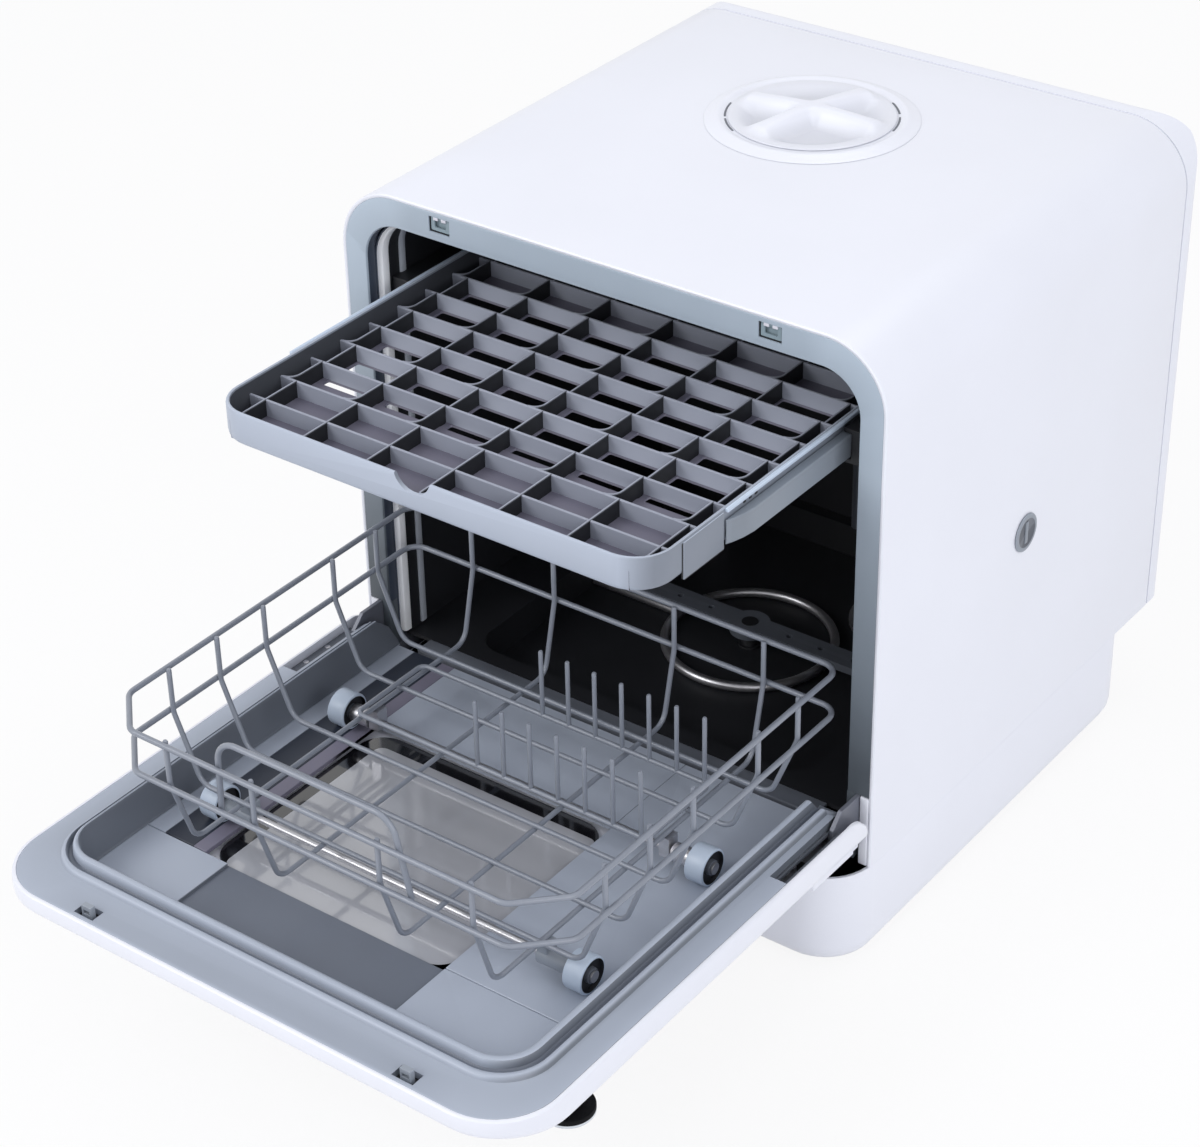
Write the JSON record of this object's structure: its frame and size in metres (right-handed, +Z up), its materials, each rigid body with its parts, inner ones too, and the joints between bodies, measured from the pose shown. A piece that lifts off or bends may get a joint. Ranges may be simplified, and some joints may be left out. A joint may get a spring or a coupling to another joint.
{
  "type": "countertop dishwasher",
  "caption": "Compact countertop dishwasher with drop-down window door, sliding cutlery tray, wheeled wire basket, spray arms and a twist filler cap on top.",
  "frame": {"origin": "on the worktop under the middle of the machine as it stands open", "axes": "+Z up, -Y towards the user and the open door, +X to the user's right"},
  "size_m": [0.4267, 0.803, 0.4683],
  "materials": {
    "white_plastic": "satin gloss",
    "grey_plastic": "satin",
    "tray_plastic": "satin",
    "dark_plastic": "satin",
    "black_gloss": "gloss",
    "mid_plastic": "satin",
    "coated_wire": "coated",
    "steel": "brushed",
    "rubber_grey": "matt",
    "rubber_black": "matt",
    "window_glass": "gloss",
    "board_green": "matt",
    "tank_plastic": "translucent"
  },
  "bodies": {
    "cabinet": {"base": "white_plastic", "foot_fl": "rubber_black", "foot_fr": "rubber_black", "foot_rl": "rubber_black", "foot_rr": "rubber_black", "outer_shell": "white_plastic", "front_frame": "grey_plastic", "back_panel": "white_plastic", "tub": "dark_plastic", "tub_seal": "rubber_grey", "sump": "dark_plastic", "heater": "steel", "wash_pump": "dark_plastic", "water_tank": "tank_plastic", "filler_ring": "white_plastic", "control_board": "board_green", "inlet_valve": "white_plastic", "drain_spigot": "mid_plastic", "power_inlet": "dark_plastic", "side_plug": "mid_plastic", "hinge_arm_l": "steel", "hinge_arm_r": "steel", "hinge_pin_l": "steel", "hinge_pin_r": "steel", "tray_guide_l": "mid_plastic", "tray_guide_r": "mid_plastic", "riser_pipe": "mid_plastic"},
    "door": {"door_shell": "white_plastic", "door_liner": "grey_plastic", "door_glass": "window_glass", "door_strike_l": "steel", "door_strike_r": "steel", "control_panel": "black_gloss"},
    "knob": {"control_knob": "black_gloss"},
    "power_key": {"button_power": "steel"},
    "start_key": {"button_start": "steel"},
    "tray_rails": {"tray_rail_l": "mid_plastic", "tray_rail_r": "mid_plastic"},
    "tray_body": {"tray": "tray_plastic"},
    "carriage": {"front_axle": "steel"},
    "rack": {"basket": "coated_wire", "basket_handle": "coated_wire", "plate_tines": "coated_wire", "rear_axle": "steel", "hanger_l": "mid_plastic", "hanger_r": "mid_plastic"},
    "roller_fl": {"wheel_fl": "mid_plastic"},
    "roller_fr": {"wheel_fr": "mid_plastic"},
    "roller_rl": {"wheel_rl": "mid_plastic"},
    "roller_rr": {"wheel_rr": "mid_plastic"},
    "arm_low": {"spray_lower": "mid_plastic"},
    "arm_high": {"spray_upper": "mid_plastic"},
    "cap": {"filler_cap": "white_plastic"},
    "fan": {"fan_rotor": "dark_plastic"},
    "float_cup": {"float": "white_plastic"},
    "strainer": {"filter": "steel"},
    "hook_l": {"latch_hook_l": "steel"},
    "hook_r": {"latch_hook_r": "steel"}
  },
  "joints": [
    {"name": "door_hinge", "type": "hinge", "parent": "cabinet", "child": "door", "pos_m": [0, -0.04575, 0.10225], "axis": [-1, 0, 0], "range_deg": [0, 90]},
    {"name": "rack_roll", "type": "slide", "parent": "door", "child": "carriage", "axis": [0, 0.9432, 0.3324], "range_m": [0, 0.20239]},
    {"name": "rack_level", "type": "hinge", "parent": "carriage", "child": "rack", "pos_m": [0, -0.2485, 0.1143], "axis": [-1, 0, 0], "range_deg": [-91, 1]},
    {"name": "rail_slide", "type": "slide", "parent": "cabinet", "child": "tray_rails", "axis": [0, 1, 0], "range_m": [0, 0.1942]},
    {"name": "tray_slide", "type": "slide", "parent": "tray_rails", "child": "tray_body", "axis": [0, 1, 0], "range_m": [-0.06, 0]},
    {"name": "knob_turn", "type": "hinge", "parent": "door", "child": "knob", "pos_m": [0.185, -0.3135, 0.076], "axis": [0, 0, -1], "range_deg": [-150, 150]},
    {"name": "power_press", "type": "slide", "parent": "door", "child": "power_key", "axis": [0, 0, 1], "range_m": [0, 0.0015], "stiffness_N_per_m": 300},
    {"name": "start_press", "type": "slide", "parent": "door", "child": "start_key", "axis": [0, 0, 1], "range_m": [0, 0.0015], "stiffness_N_per_m": 300},
    {"name": "arm_low_spin", "type": "hinge", "parent": "cabinet", "child": "arm_low", "pos_m": [0, 0.1525, 0.09], "axis": [0, 0, 1], "continuous": true},
    {"name": "arm_high_spin", "type": "hinge", "parent": "cabinet", "child": "arm_high", "pos_m": [0, 0.1525, 0.408], "axis": [0, 0, 1], "continuous": true},
    {"name": "cap_twist", "type": "hinge", "parent": "cabinet", "child": "cap", "pos_m": [-0.008, 0.2335, 0.457], "axis": [0, 0, 1], "range_deg": [0, 90]},
    {"name": "fan_spin", "type": "hinge", "parent": "cabinet", "child": "fan", "pos_m": [0.125, 0.3725, 0.2035], "axis": [0, 1, 0], "continuous": true},
    {"name": "float_lift", "type": "slide", "parent": "cabinet", "child": "float_cup", "axis": [0, 0, 1], "range_m": [0, 0.005]},
    {"name": "strainer_twist", "type": "hinge", "parent": "cabinet", "child": "strainer", "pos_m": [0.075, 0.2395, 0.076], "axis": [0, 0, 1], "range_deg": [0, 45]},
    {"name": "hook_l_flip", "type": "hinge", "parent": "cabinet", "child": "hook_l", "pos_m": [-0.128, -0.0025, 0.446], "axis": [-1, 0, 0], "range_deg": [0, 8], "stiffness_Nm_per_rad": 0.05},
    {"name": "hook_r_flip", "type": "hinge", "parent": "cabinet", "child": "hook_r", "pos_m": [0.128, -0.0025, 0.446], "axis": [-1, 0, 0], "range_deg": [0, 8], "stiffness_Nm_per_rad": 0.05},
    {"name": "roller_fl_spin", "type": "hinge", "parent": "carriage", "child": "roller_fl", "pos_m": [-0.149, -0.2485, 0.1143], "axis": [1, 0, 0], "continuous": true},
    {"name": "roller_fr_spin", "type": "hinge", "parent": "carriage", "child": "roller_fr", "pos_m": [0.149, -0.2485, 0.1143], "axis": [1, 0, 0], "continuous": true},
    {"name": "roller_rl_spin", "type": "hinge", "parent": "rack", "child": "roller_rl", "pos_m": [-0.149, -0.1205, 0.1143], "axis": [1, 0, 0], "continuous": true},
    {"name": "roller_rr_spin", "type": "hinge", "parent": "rack", "child": "roller_rr", "pos_m": [0.149, -0.1205, 0.1143], "axis": [1, 0, 0], "continuous": true}
  ],
  "couplings": [
    {"joint": "rack_roll", "follows": "door_hinge", "m_per_rad": 0.12872},
    {"joint": "rack_level", "follows": "door_hinge", "ratio": -1},
    {"joint": "rail_slide", "follows": "door_hinge", "m_per_rad": 0.1235}
  ]
}
